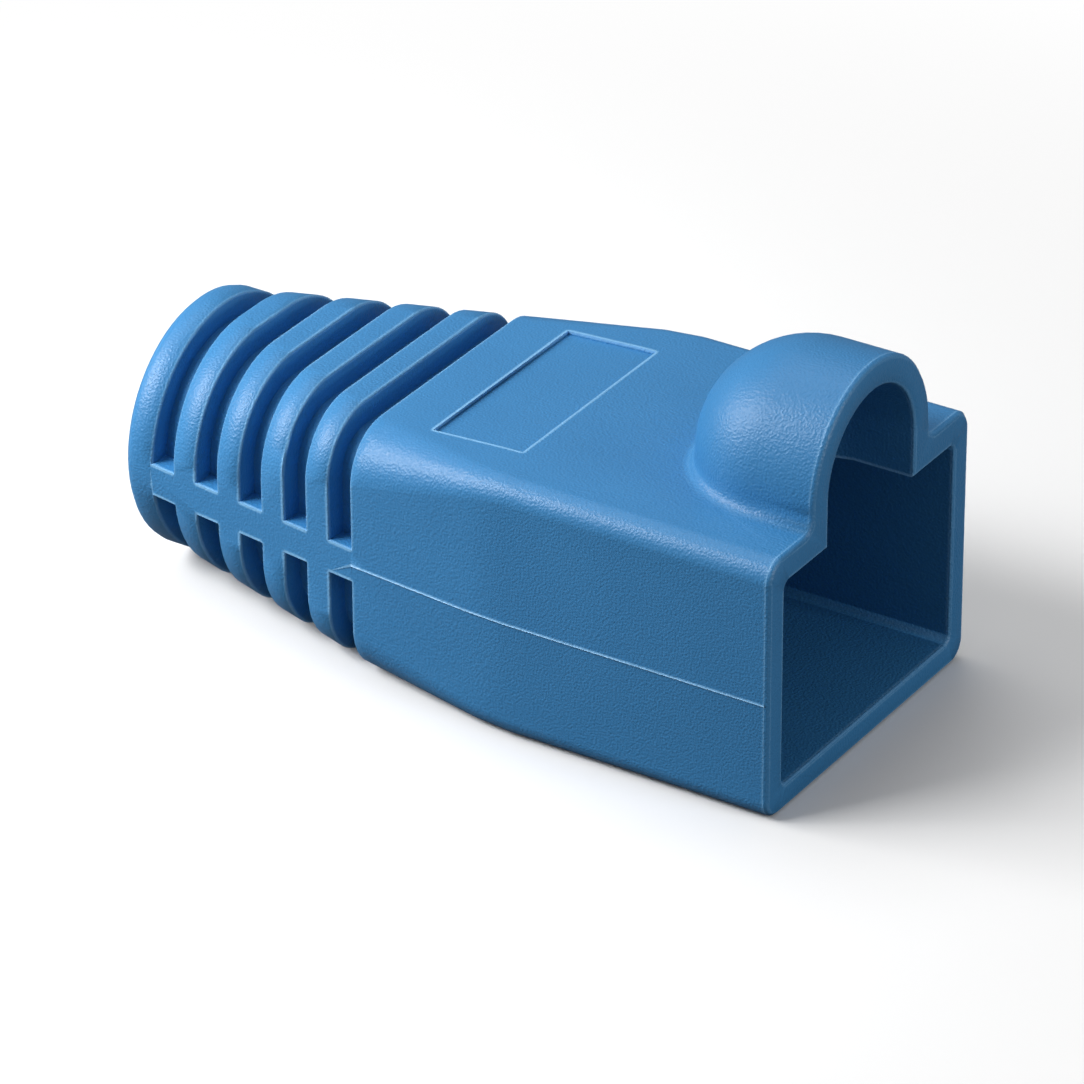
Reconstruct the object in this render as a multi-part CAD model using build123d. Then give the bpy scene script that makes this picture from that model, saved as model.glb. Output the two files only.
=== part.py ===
"""Strain relief boot for a modular network plug, moulded in one piece.

Millimetres. +X points out of the plug mouth, the cable leaves along -X, +Y is the width and +Z is
up, on the side of the latch hood. The origin is at the centre of the boot's box, on its underside.
Distances called "back" are measured from the mouth towards the cable.
"""
from build123d import *
from math import cos, pi, sin
import os

# Plug and cable that the boot goes over
PLUG_WIDTH = 11.68
PLUG_HEIGHT = 8.0
PLUG_CLEARANCE = 0.1
CABLE_DIAMETER = 6.5
CABLE_CLEARANCE = 0.3

# Walls
SIDE_WALL = 1.06
FLOOR_WALL = 1.05
ROOF_WALL = 1.15
POCKET_CORNER = 0.3
PLUG_STOP = 0.3
THROAT_LEDGE = 0.1

# Lengths along the boot
HOOD_LENGTH = 11.7
BEND_LENGTH = 1.5
SHOULDER_LENGTH = 6.2
COLLAR_LENGTH = 1.35

# Outer form
HOOD_CORNER = 0.85
SHOULDER_END_WIDTH = 12.8
SHOULDER_ROOF_DROP = 0.35
SHOULDER_CORNER = 2.1
COLLAR_DIAMETER = 10.0
TAIL_AXIS_HEIGHT = 5.05
PARTING_HEIGHT = 4.8
TAIL_FLAT = 0.3
MOUTH_EDGE = 0.15
LIP_EDGE = 0.1

# Bend relief: grooves between ribs, stopped by a spine on each side
GROOVE_COUNT = 5
GROOVE_WIDTH = 1.04
GROOVE_DEPTH = 0.9
GROOVE_DRAFT = 0.04
RIB_WIDTH = 1.14
RIB_EDGE = 0.22
RIB_EDGE_STEPS = 1
SPINE_HEIGHT = 1.3

# Collar round the cable
COLLAR_NOSE = 0.5
NOSE_STEPS = 3
BORE_EDGE = 0.12

# Hood over the plug's latch
LATCH_RADIUS = 4.1
LATCH_WALL = 1.1
LATCH_LIFT = 0.7
LATCH_STRAIGHT = 2.5
LATCH_FOOT = 0.45
LATCH_FOOT_STEPS = 3
LATCH_SPACE_STEPS = 3

# Shallow label panels on the roof and on the underside
PANEL_WIDTH = 9.0
PANEL_LENGTH = 3.8
PANEL_DEPTH = 0.15
PANEL_SETBACK = 2.4

# Sizes that follow
POCKET_WIDTH = PLUG_WIDTH + 2 * PLUG_CLEARANCE
POCKET_TOP = FLOOR_WALL + PLUG_HEIGHT + 2 * PLUG_CLEARANCE
WIDTH = POCKET_WIDTH + 2 * SIDE_WALL
HEIGHT = POCKET_TOP + ROOF_WALL
BORE_RADIUS = CABLE_DIAMETER / 2 + CABLE_CLEARANCE
COLLAR_RADIUS = COLLAR_DIAMETER / 2
PITCH = GROOVE_WIDTH + RIB_WIDTH
SHOULDER_END = HOOD_LENGTH + SHOULDER_LENGTH
COLLAR_START = SHOULDER_END + GROOVE_COUNT * PITCH - RIB_WIDTH
LENGTH = COLLAR_START + COLLAR_LENGTH
MOUTH_X = LENGTH / 2
LATCH_AXIS_HEIGHT = HEIGHT + LATCH_LIFT
LATCH_BALL_X = MOUTH_X - LATCH_STRAIGHT


def across(back, height):
    """Plane across the boot that faces the mouth, with its centre at that height."""
    return Plane(origin=(MOUTH_X - back, 0, height), x_dir=(0, 1, 0), z_dir=(1, 0, 0))


def section(back, half_width, low, high, corner):
    """Rounded rectangle across the boot, from height low to height high."""
    return across(back, (low + high) / 2) * RectangleRounded(2 * half_width, high - low, corner)


def hood_section(back, inset=0):
    """Skin of the straight hood and of the shoulder that tapers behind it."""
    share = max(back - HOOD_LENGTH, 0) / SHOULDER_LENGTH
    half_width = (WIDTH - share * (WIDTH - SHOULDER_END_WIDTH)) / 2
    top = HEIGHT - share * SHOULDER_ROOF_DROP
    corner = HOOD_CORNER + share * (SHOULDER_CORNER - HOOD_CORNER)
    return section(back, half_width - inset, inset, top - inset, max(corner - inset, POCKET_CORNER))


def tail_section(back, inset=0):
    """Skin of the ribbed tail: a rounded rectangle that turns almost round at the collar."""
    share = (back - SHOULDER_END) / (COLLAR_START - SHOULDER_END)
    half_width = SHOULDER_END_WIDTH / 2 + share * (COLLAR_RADIUS - SHOULDER_END_WIDTH / 2)
    low = share * (TAIL_AXIS_HEIGHT - COLLAR_RADIUS)
    shoulder_top = HEIGHT - SHOULDER_ROOF_DROP
    top = shoulder_top + share * (TAIL_AXIS_HEIGHT + COLLAR_RADIUS - shoulder_top)
    corner = SHOULDER_CORNER + share * (COLLAR_RADIUS - TAIL_FLAT / 2 - SHOULDER_CORNER)
    return section(back, half_width - inset, low + inset, top - inset, max(corner - inset, POCKET_CORNER))


def rim_steps(radius, steps):
    """Steps round an edge, from the skin to the face: how far from the face, and how far in from the skin."""
    turns = [step / steps * pi / 2 for step in range(steps + 1)]
    return [(radius * (1 - sin(turn)), radius * (1 - cos(turn))) for turn in turns]


def hood_form():
    """Outside of the straight hood and of the shoulder that narrows to the ribs."""
    bend_start = HOOD_LENGTH - BEND_LENGTH / 2
    bend_end = HOOD_LENGTH + BEND_LENGTH / 2
    straight = extrude(hood_section(bend_start), bend_start)
    rim = [hood_section(SHOULDER_END - run, depth) for run, depth in rim_steps(RIB_EDGE, RIB_EDGE_STEPS)]
    shoulder = loft([hood_section(bend_start), hood_section(bend_end)] + rim, ruled=True)
    return straight + shoulder


def latch_form(radius, foot_height, round_end):
    """Half a barrel with a round end, on upright walls down to foot_height."""
    corner = (MOUTH_X, radius)
    outline = Line((MOUTH_X, 0), corner) + Line(corner, (LATCH_BALL_X, radius))
    outline += round_end
    outline += Line((LATCH_BALL_X - radius, 0), (MOUTH_X, 0))
    half = Pos(0, 0, LATCH_AXIS_HEIGHT) * make_face(outline)
    dome = revolve(half, Axis((0, 0, LATCH_AXIS_HEIGHT), (1, 0, 0)), 180)
    walls = extrude(half + mirror(half, Plane.XZ), foot_height - LATCH_AXIS_HEIGHT)
    return dome + walls


def latch_hood():
    """Outside of the latch hood, which ends in a quarter of a ball."""
    arc = RadiusArc((LATCH_BALL_X, LATCH_RADIUS), (LATCH_BALL_X - LATCH_RADIUS, 0), -LATCH_RADIUS)
    return latch_form(LATCH_RADIUS, POCKET_TOP, arc)


def latch_space():
    """Inside of the latch hood, with a plainer end that follows the ball in steps."""
    radius = LATCH_RADIUS - LATCH_WALL
    steps = rim_steps(radius, LATCH_SPACE_STEPS)
    facets = Polyline(*[(LATCH_BALL_X - radius + run, radius - depth) for run, depth in steps])
    return latch_form(radius, POCKET_TOP - PLUG_CLEARANCE, facets)


def latch_foot():
    """Hollow of the foot where the latch hood stands on the roof, swept round the hood."""
    outline = [(LATCH_RADIUS + run, HEIGHT + rise) for run, rise in rim_steps(LATCH_FOOT, LATCH_FOOT_STEPS)]
    outline.append((LATCH_RADIUS - LATCH_WALL / 2, HEIGHT + LATCH_FOOT))
    outline.append((LATCH_RADIUS - LATCH_WALL / 2, HEIGHT - ROOF_WALL / 2))
    outline.append((LATCH_RADIUS + LATCH_FOOT, HEIGHT - ROOF_WALL / 2))
    profile = across(LATCH_STRAIGHT, 0) * make_face(Polyline(*outline, close=True))
    side = extrude(profile, LATCH_STRAIGHT)
    return revolve(profile, Axis((LATCH_BALL_X, 0, 0), (0, 0, 1)), 180) + side + mirror(side, Plane.XZ)


def panel_cut(skin, direction):
    """Shallow panel that follows the skin, on the roof (1) or on the underside (-1)."""
    back = SHOULDER_END - PANEL_SETBACK - PANEL_LENGTH / 2
    block = Box(PANEL_LENGTH, PANEL_WIDTH, HEIGHT)
    place = Pos(MOUTH_X - back, 0, HEIGHT / 2 + direction * HEIGHT / 2)
    return place * block - Pos(0, 0, -direction * PANEL_DEPTH) * skin


def hood():
    """Hood, shoulder and latch hood as one outer form, with panels and a rounded mouth."""
    skin = hood_form()
    body = skin + latch_hood() + latch_foot()
    body = chamfer(body.faces().sort_by(Axis.X)[-1].edges(), MOUTH_EDGE)
    return body - panel_cut(skin, 1) - panel_cut(skin, -1)


def tail_profile():
    """Distance back and depth below the skin along the ribbed tail, from floor to floor."""
    profile = [(SHOULDER_END, GROOVE_DEPTH)]
    rim = rim_steps(RIB_EDGE, RIB_EDGE_STEPS)
    for index in range(GROOVE_COUNT - 1):
        front = SHOULDER_END + GROOVE_WIDTH + index * PITCH
        end = front + RIB_WIDTH
        profile.append((front - GROOVE_DRAFT, GROOVE_DEPTH))
        profile += [(front + run, depth) for run, depth in reversed(rim)]
        profile += [(end - run, depth) for run, depth in rim]
        profile.append((end + GROOVE_DRAFT, GROOVE_DEPTH))
    profile.append((COLLAR_START, GROOVE_DEPTH))
    return profile


def tail():
    """Tail with ribs all round."""
    return loft([tail_section(back, depth) for back, depth in tail_profile()], ruled=True)


def spine_band():
    """Level band that the spine fills, from the hood's rounded rim to the collar's."""
    front = SHOULDER_END - RIB_EDGE
    end = COLLAR_START + RIB_EDGE
    return Pos(MOUTH_X - (front + end) / 2, 0, PARTING_HEIGHT) * Box(end - front, 2 * WIDTH, SPINE_HEIGHT)


def spine():
    """Bar along both sides, flush with the ribs, where the grooves stop."""
    stations = [hood_section(SHOULDER_END - RIB_EDGE), tail_section(SHOULDER_END)]
    stations.append(tail_section(COLLAR_START + RIB_EDGE))
    return loft(stations, ruled=True) & spine_band()


def collar():
    """Round collar with a rounded nose at the cable's end."""
    front = MOUTH_X - COLLAR_START
    end = MOUTH_X - LENGTH
    outline = [(front, 0), (front, COLLAR_RADIUS - RIB_EDGE), (front - RIB_EDGE, COLLAR_RADIUS)]
    outline += [(end + run, COLLAR_RADIUS - depth) for run, depth in rim_steps(COLLAR_NOSE, NOSE_STEPS)]
    outline.append((end, 0))
    half = Plane.XZ * make_face(Polyline(*outline, close=True))
    return Pos(0, 0, TAIL_AXIS_HEIGHT) * revolve(half, Axis.X)


def cavity():
    """Plug pocket with a stop for the plug, funnel, cable bore and latch space."""
    pocket_end = section(HOOD_LENGTH, POCKET_WIDTH / 2, FLOOR_WALL, POCKET_TOP, POCKET_CORNER)
    pocket = extrude(pocket_end, HOOD_LENGTH)
    stop_place = across(HOOD_LENGTH, (FLOOR_WALL + POCKET_TOP) / 2)
    stop = stop_place * Rectangle(POCKET_WIDTH - 2 * PLUG_STOP, POCKET_TOP - FLOOR_WALL - 2 * PLUG_STOP)
    throat_size = 2 * (BORE_RADIUS + THROAT_LEDGE)
    throat = across(SHOULDER_END, TAIL_AXIS_HEIGHT) * Rectangle(throat_size, throat_size)
    funnel = loft([stop, throat], ruled=True)
    bore = extrude(across(LENGTH, TAIL_AXIS_HEIGHT) * Circle(BORE_RADIUS), LENGTH - SHOULDER_END)
    return pocket + funnel + bore + latch_space()


def boot():
    """The whole moulding."""
    skin = hood() + tail() + collar() - spine_band() + spine()
    body = skin - cavity()
    cable_end = body.faces().sort_by(Axis.X)[0]
    body = chamfer(cable_end.inner_wires()[0].edges(), BORE_EDGE)
    mouth = body.faces().sort_by(Axis.X)[-1]
    return chamfer(mouth.inner_wires()[0].edges(), LIP_EDGE)


os.makedirs("parts", exist_ok=True)
export_step(boot(), "parts/strain_relief_boot.step")
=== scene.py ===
"""Looks of the strain relief boot: skin with crisp ribs and a parting line, material, light and camera."""
import math

import bmesh
import bpy
from mathutils import Matrix, Vector


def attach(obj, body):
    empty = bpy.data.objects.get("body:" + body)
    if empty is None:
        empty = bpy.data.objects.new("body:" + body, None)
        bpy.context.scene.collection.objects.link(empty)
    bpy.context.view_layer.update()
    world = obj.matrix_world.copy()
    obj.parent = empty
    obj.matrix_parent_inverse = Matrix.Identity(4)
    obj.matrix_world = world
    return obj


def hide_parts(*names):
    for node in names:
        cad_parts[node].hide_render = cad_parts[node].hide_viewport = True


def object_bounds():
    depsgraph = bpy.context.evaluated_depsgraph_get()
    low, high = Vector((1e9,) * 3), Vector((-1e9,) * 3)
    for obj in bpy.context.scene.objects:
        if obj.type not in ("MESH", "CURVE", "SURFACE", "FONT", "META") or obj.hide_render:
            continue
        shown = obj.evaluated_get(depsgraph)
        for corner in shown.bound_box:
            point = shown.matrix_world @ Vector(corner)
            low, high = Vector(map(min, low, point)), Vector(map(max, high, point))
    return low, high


MM = 0.001
NODE = "strain_relief_boot"

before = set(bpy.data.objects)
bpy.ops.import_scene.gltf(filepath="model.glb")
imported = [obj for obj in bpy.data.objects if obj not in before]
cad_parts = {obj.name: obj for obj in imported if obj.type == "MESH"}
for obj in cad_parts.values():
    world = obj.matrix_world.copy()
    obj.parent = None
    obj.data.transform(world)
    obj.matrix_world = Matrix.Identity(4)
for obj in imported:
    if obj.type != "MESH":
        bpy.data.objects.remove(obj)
cad_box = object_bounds()

# Parting line of the mould, on the side walls of the plug hood and the shoulder
PARTING_HEIGHT = 4.8 * MM
SHOULDER_END = 17.9 * MM
FLASH_HALF_WIDTH = 0.06 * MM
FLASH_HEIGHT = 0.06 * MM

# Grooves of the tail, behind the shoulder, and the width of their slanted rims
GROOVE_COUNT = 5
GROOVE_WIDTH = 1.04 * MM
RIB_WIDTH = 1.14 * MM
RIM_WIDTH = 0.22 * MM

# Share of a rim's width that stays when the rim is narrowed
CRISP_SHARE = 0.32

# Spines that part the grooves, level with the parting line on both sides
SPINE_HALF_WIDTH = 0.66 * MM
SPINE_FROM_MIDDLE = 4.5 * MM
FLAT_ANGLE = math.radians(0.3)

# Facing of an outer wall, least outward, and of a slanted rim, from least to most along X
OUTWARD_SHARE = 0.9
RIM_SLOPE = (0.5, 0.9)

# Mending and shading of the skin
WELD_DISTANCE = 0.0005 * MM
SHARP_ANGLE = math.radians(50)

# Camera, from the fit to the photograph
VIEW_AZIMUTH = math.radians(32.7)
VIEW_ELEVATION = math.radians(29.4)
VIEW_ROLL = math.radians(-0.3)
VIEW_DISTANCE = 250 * MM
VIEW_WIDTH = 40 * MM
VIEW_CLIP = 10 * MM
SENSOR_WIDTH = 36.0

# Colours, linear
WHITE = (1, 1, 1, 1)
BLACK = (0, 0, 0, 1)
SKIN_COLOUR = (0.038, 0.206, 0.455, 1)
SKIN_LIGHT = (0.042, 0.220, 0.480, 1)
# Pale blue of the painted highlight along outward edges
EDGE_HIGHLIGHT_COLOUR = (0.20, 0.46, 0.75, 1)
FLOOR_SEEN = (0.96, 0.96, 0.96, 1)
FLOOR_BOUNCE = (0.13, 0.13, 0.13, 1)
SURROUND_BOUNCE = (0.22, 0.22, 0.22, 1)

# Fine grain and faint clouds of the skin
GRAIN_SCALE = 11000
GRAIN_DETAIL = 0.5
GRAIN_HEIGHT = 0.04 * MM
GRAIN_STRENGTH = 0.6
CLOUD_SCALE = 260
CLOUD_DETAIL = 2
NOISE_RANGE = (0.3, 0.7)

# Gloss of the skin: roughness in the hollows and on the crests of the grain, as greys
HOLLOW_ROUGHNESS = (0.48, 0.48, 0.48, 1)
CREST_ROUGHNESS = (0.36, 0.36, 0.36, 1)
SKIN_IOR = 1.45

# Painted highlight along the skin's outward edges: how far its mask looks into the wall, and how open the
# wall is from edge to flat
EDGE_REACH = 0.14 * MM
EDGE_SAMPLES = 6
EDGE_OPENNESS = (0.84, 0.985)

# Floor, which shows light and shade near the boot and fades to plain white beyond
FLOOR_REACH = 2000 * MM
FLOOR_DROP = 0.01 * MM
FLOOR_ROUGHNESS = 0.8
FLOOR_SHADE_FROM = 26 * MM
FLOOR_SHADE_TO = 60 * MM

# Stops of a ramp that answers no or yes
NO_YES = (0, 1)

# Lamps: name, direction from the boot, distance, size and level
LAMPS = (
    ("key", (-0.47, -0.52, 0.72), 320 * MM, 110 * MM, 0.46),
    ("left", (-0.50, -0.30, 0.40), 70.7 * MM, 35 * MM, 0.74),
    ("fill", (1.0, 0.06, 0.30), 450 * MM, 120 * MM, 0.26),
    ("top", (-0.3, 0.2, 1.0), 450 * MM, 300 * MM, 0.29),
)


def side_walls(mesh):
    """Outer side walls of the plug hood and the shoulder, with their edges and points."""
    shoulder_end = cad_box[1].x - SHOULDER_END
    walls = {}
    for face in mesh.faces:
        middle = face.calc_center_median()
        outward = face.normal.y * math.copysign(1, middle.y)
        if outward > OUTWARD_SHARE and middle.x > shoulder_end:
            walls.update(dict.fromkeys([face, *face.edges, *face.verts]))
    return list(walls)


def cut_level(mesh, height):
    """Cuts the side walls along a level plane and returns the points on the cut."""
    made = bmesh.ops.bisect_plane(mesh, geom=side_walls(mesh), dist=WELD_DISTANCE,
                                  plane_co=(0, 0, height), plane_no=(0, 0, 1))
    return [item for item in made["geom_cut"] if isinstance(item, bmesh.types.BMVert)]


def raise_parting_line(mesh):
    """Pushes a thin line of flash out of the side walls where the mould's halves meet."""
    mesh.normal_update()
    cut_level(mesh, PARTING_HEIGHT - FLASH_HALF_WIDTH)
    cut_level(mesh, PARTING_HEIGHT + FLASH_HALF_WIDTH)
    line = cut_level(mesh, PARTING_HEIGHT)
    mesh.normal_update()
    for point in line:
        point.co += FLASH_HEIGHT * point.normal


def on_spine(point):
    """Whether a point lies on the level spine that runs along either side of the tail."""
    level = abs(point.co.z - PARTING_HEIGHT) < SPINE_HALF_WIDTH
    outer = abs(point.co.y) > SPINE_FROM_MIDDLE
    return level and outer and cad_box[1].x - point.co.x > SHOULDER_END


def join_spines(mesh):
    """Joins the flat triangles of the spines, so that none is left to fold where a rim is narrowed."""
    points = [point for point in mesh.verts if on_spine(point)]
    edges = [edge for edge in mesh.edges if all(on_spine(point) for point in edge.verts)]
    bmesh.ops.dissolve_limit(mesh, angle_limit=FLAT_ANGLE, verts=points, edges=edges)


def rims():
    """Faces of the grooves: distance back from the mouth, and 1 where the rib lies behind, -1 in front."""
    found = []
    for index in range(GROOVE_COUNT):
        front = SHOULDER_END + index * (GROOVE_WIDTH + RIB_WIDTH)
        found += [(front, -1), (front + GROOVE_WIDTH, 1)]
    return found


def slants_beside(point):
    """Normals of the slanted rim faces that meet at a point."""
    normals = [face.normal for face in point.link_faces]
    return [normal for normal in normals if RIM_SLOPE[0] < abs(normal.x) < RIM_SLOPE[1]]


def taper(point, outward):
    """Slope of the skin beside a point on a rim: how far it falls inward for each step along X."""
    slopes = [face.normal.x / face.normal.dot(outward) for face in point.link_faces
              if abs(face.normal.x) < RIM_SLOPE[0] and face.normal.dot(outward) > OUTWARD_SHARE]
    return sum(slopes) / max(len(slopes), 1)


def crisp_rims(mesh):
    """Narrows the slanted rims of the grooves to the fine edges that the moulding has."""
    mesh.normal_update()
    shifts = []
    for point in mesh.verts:
        back = cad_box[1].x - point.co.x
        slants = slants_beside(point)
        outward = sum(slants, Vector()) if slants else point.normal.copy()
        outward.x = 0
        outward.normalize()
        for place, direction in rims():
            run = (back - place) * direction
            if -WELD_DISTANCE < run < RIM_WIDTH + WELD_DISTANCE:
                along = direction * (1 - CRISP_SHARE) * run
                rise = (1 - CRISP_SHARE) * (RIM_WIDTH - run) if slants else 0
                rise -= along * taper(point, outward)
                shifts.append((point, Vector((along, 0, 0)) + rise * outward))
    for point, shift in shifts:
        point.co += shift


def skin_mesh():
    """The frame's own mesh, mended, with crisp rims, its parting line and smooth shading."""
    mesh = bmesh.new()
    mesh.from_mesh(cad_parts[NODE].data)
    bmesh.ops.remove_doubles(mesh, verts=mesh.verts[:], dist=WELD_DISTANCE)
    bmesh.ops.dissolve_degenerate(mesh, edges=mesh.edges[:], dist=WELD_DISTANCE)
    joined = [face for face in mesh.faces if len(face.verts) > 3]
    bmesh.ops.triangulate(mesh, faces=joined, quad_method="BEAUTY", ngon_method="BEAUTY")
    join_spines(mesh)
    crisp_rims(mesh)
    raise_parting_line(mesh)
    bmesh.ops.recalc_face_normals(mesh, faces=mesh.faces[:])
    for face in mesh.faces:
        face.smooth = True
    for edge in mesh.edges:
        edge.smooth = edge.calc_face_angle(math.pi) < SHARP_ANGLE
    data = bpy.data.meshes.new("boot_skin")
    mesh.to_mesh(data)
    mesh.free()
    return data


def boot_skin():
    """The moulding as one piece, which is shown in place of the solid."""
    skin = bpy.data.objects.new("boot_skin", skin_mesh())
    bpy.context.scene.collection.objects.link(skin)
    weighted = skin.modifiers.new("weighted", "WEIGHTED_NORMAL")
    weighted.keep_sharp = True
    skin.data.materials.append(boot_material())
    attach(skin, "root")
    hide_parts(NODE)


def noise(nodes, links, coordinates, scale, detail):
    """A noise texture in the object's own metres."""
    texture = nodes.new("ShaderNodeTexNoise")
    texture.inputs["Scale"].default_value = scale
    texture.inputs["Detail"].default_value = detail
    links.new(coordinates.outputs["Object"], texture.inputs["Vector"])
    return texture


def ramp(nodes, links, value, stops, colours):
    """A colour ramp between two stops."""
    made = nodes.new("ShaderNodeValToRGB")
    for element, stop, colour in zip(made.color_ramp.elements, stops, colours):
        element.position = stop
        element.color = colour
    links.new(value, made.inputs["Fac"])
    return made


def edge_highlight_mask(nodes, links):
    """Mask of the painted highlight: 1 on outward edges, where the wall is near on two sides, and 0 on
    flats and in inner corners.
    """
    inside = nodes.new("ShaderNodeAmbientOcclusion")
    inside.inside = True
    inside.only_local = True
    inside.samples = EDGE_SAMPLES
    inside.inputs["Distance"].default_value = EDGE_REACH
    return ramp(nodes, links, inside.outputs["AO"], EDGE_OPENNESS, (WHITE, BLACK))


def boot_material():
    """Flexible plastic, satin, with the mould's fine grain and a painted highlight that pales the outward
    edges.
    """
    material = bpy.data.materials.new("boot_pvc")
    material.use_nodes = True
    nodes = material.node_tree.nodes
    links = material.node_tree.links
    shader = nodes["Principled BSDF"]
    coordinates = nodes.new("ShaderNodeTexCoord")
    cloud = noise(nodes, links, coordinates, CLOUD_SCALE, CLOUD_DETAIL)
    grain = noise(nodes, links, coordinates, GRAIN_SCALE, GRAIN_DETAIL)
    tone = ramp(nodes, links, cloud.outputs["Fac"], NOISE_RANGE, (SKIN_COLOUR, SKIN_LIGHT))
    mask = edge_highlight_mask(nodes, links)
    # Painted highlight: outward edges are mixed toward a pale blue
    painted_highlight = nodes.new("ShaderNodeMix")
    painted_highlight.data_type = "RGBA"
    links.new(mask.outputs["Color"], painted_highlight.inputs["Factor"])
    links.new(tone.outputs["Color"], painted_highlight.inputs["A"])
    painted_highlight.inputs["B"].default_value = EDGE_HIGHLIGHT_COLOUR
    links.new(painted_highlight.outputs["Result"], shader.inputs["Base Color"])
    gloss = ramp(nodes, links, grain.outputs["Fac"], NOISE_RANGE, (HOLLOW_ROUGHNESS, CREST_ROUGHNESS))
    links.new(gloss.outputs["Color"], shader.inputs["Roughness"])
    bump = nodes.new("ShaderNodeBump")
    bump.inputs["Strength"].default_value = GRAIN_STRENGTH
    bump.inputs["Distance"].default_value = GRAIN_HEIGHT
    links.new(grain.outputs["Fac"], bump.inputs["Height"])
    links.new(bump.outputs["Normal"], shader.inputs["Normal"])
    shader.inputs["IOR"].default_value = SKIN_IOR
    return material


def floor():
    """Plain pale floor, just under the boot."""
    mesh = bmesh.new()
    bmesh.ops.create_grid(mesh, x_segments=1, y_segments=1, size=FLOOR_REACH)
    data = bpy.data.meshes.new("floor")
    mesh.to_mesh(data)
    mesh.free()
    made = bpy.data.objects.new("floor", data)
    made.location = (0, 0, -FLOOR_DROP)
    bpy.context.scene.collection.objects.link(made)
    data.materials.append(floor_material())


def floor_material():
    """Near white where it is seen, greyer in the light that it throws back, and plain white far away."""
    material = bpy.data.materials.new("floor_pale")
    material.use_nodes = True
    nodes = material.node_tree.nodes
    links = material.node_tree.links
    seen = nodes.new("ShaderNodeLightPath").outputs["Is Camera Ray"]
    shade = ramp(nodes, links, seen, NO_YES, (FLOOR_BOUNCE, FLOOR_SEEN))
    shader = nodes["Principled BSDF"]
    links.new(shade.outputs["Color"], shader.inputs["Base Color"])
    shader.inputs["Roughness"].default_value = FLOOR_ROUGHNESS
    coordinates = nodes.new("ShaderNodeTexCoord")
    reach = nodes.new("ShaderNodeVectorMath")
    reach.operation = "LENGTH"
    links.new(coordinates.outputs["Object"], reach.inputs[0])
    far = nodes.new("ShaderNodeMapRange")
    far.inputs["From Min"].default_value = FLOOR_SHADE_FROM
    far.inputs["From Max"].default_value = FLOOR_SHADE_TO
    links.new(reach.outputs["Value"], far.inputs["Value"])
    links.new(seen, far.inputs["To Max"])
    plain = nodes.new("ShaderNodeEmission")
    fade = nodes.new("ShaderNodeMixShader")
    links.new(far.outputs["Result"], fade.inputs["Fac"])
    links.new(shader.outputs["BSDF"], fade.inputs[1])
    links.new(plain.outputs["Emission"], fade.inputs[2])
    links.new(fade.outputs["Shader"], nodes["Material Output"].inputs["Surface"])
    return material


def soft_light(name, direction, distance, size, level):
    """A square lamp that points at the boot. Level is the share of white that it gives a facing sheet."""
    lamp = bpy.data.lights.new(name, "AREA")
    lamp.shape = "SQUARE"
    lamp.size = size
    lamp.energy = level * math.pi ** 2 * distance ** 2
    made = bpy.data.objects.new(name, lamp)
    toward = Vector(direction).normalized()
    made.location = toward * distance
    made.rotation_mode = "QUATERNION"
    made.rotation_quaternion = toward.to_track_quat("Z", "Y")
    bpy.context.scene.collection.objects.link(made)


def studio():
    """Soft light from the upper left front and from above, low lamps at both ends and a pale surround."""
    scene = bpy.context.scene
    scene.view_settings.view_transform = "Standard"
    world = bpy.data.worlds.new("surround")
    world.use_nodes = True
    nodes = world.node_tree.nodes
    links = world.node_tree.links
    seen = nodes.new("ShaderNodeLightPath").outputs["Is Camera Ray"]
    shade = ramp(nodes, links, seen, NO_YES, (SURROUND_BOUNCE, WHITE))
    links.new(shade.outputs["Color"], nodes["Background"].inputs["Color"])
    scene.world = world
    for lamp in LAMPS:
        soft_light(*lamp)


def camera():
    """Long lens at the photograph's viewing angle, with the boot in the middle of the picture."""
    lens = bpy.data.cameras.new("camera")
    lens.sensor_width = SENSOR_WIDTH
    lens.lens = SENSOR_WIDTH * VIEW_DISTANCE / VIEW_WIDTH
    lens.clip_start = VIEW_CLIP
    level = math.cos(VIEW_ELEVATION)
    back = Vector((math.sin(VIEW_AZIMUTH) * level,
                   -math.cos(VIEW_AZIMUTH) * level,
                   math.sin(VIEW_ELEVATION)))
    turn = (-back).to_track_quat("-Z", "Y") @ Matrix.Rotation(VIEW_ROLL, 3, "Z").to_quaternion()
    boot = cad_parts[NODE]
    points = [turn.inverted() @ (boot.matrix_world @ vertex.co) for vertex in boot.data.vertices]
    across = [point.x for point in points]
    rise = [point.y for point in points]
    aim = Vector((min(across) + max(across), min(rise) + max(rise), 0)) / 2
    made = bpy.data.objects.new("camera", lens)
    made.rotation_mode = "QUATERNION"
    made.rotation_quaternion = turn
    made.location = turn @ aim + back * VIEW_DISTANCE
    bpy.context.scene.collection.objects.link(made)
    bpy.context.scene.camera = made


camera()
boot_skin()
floor()
studio()
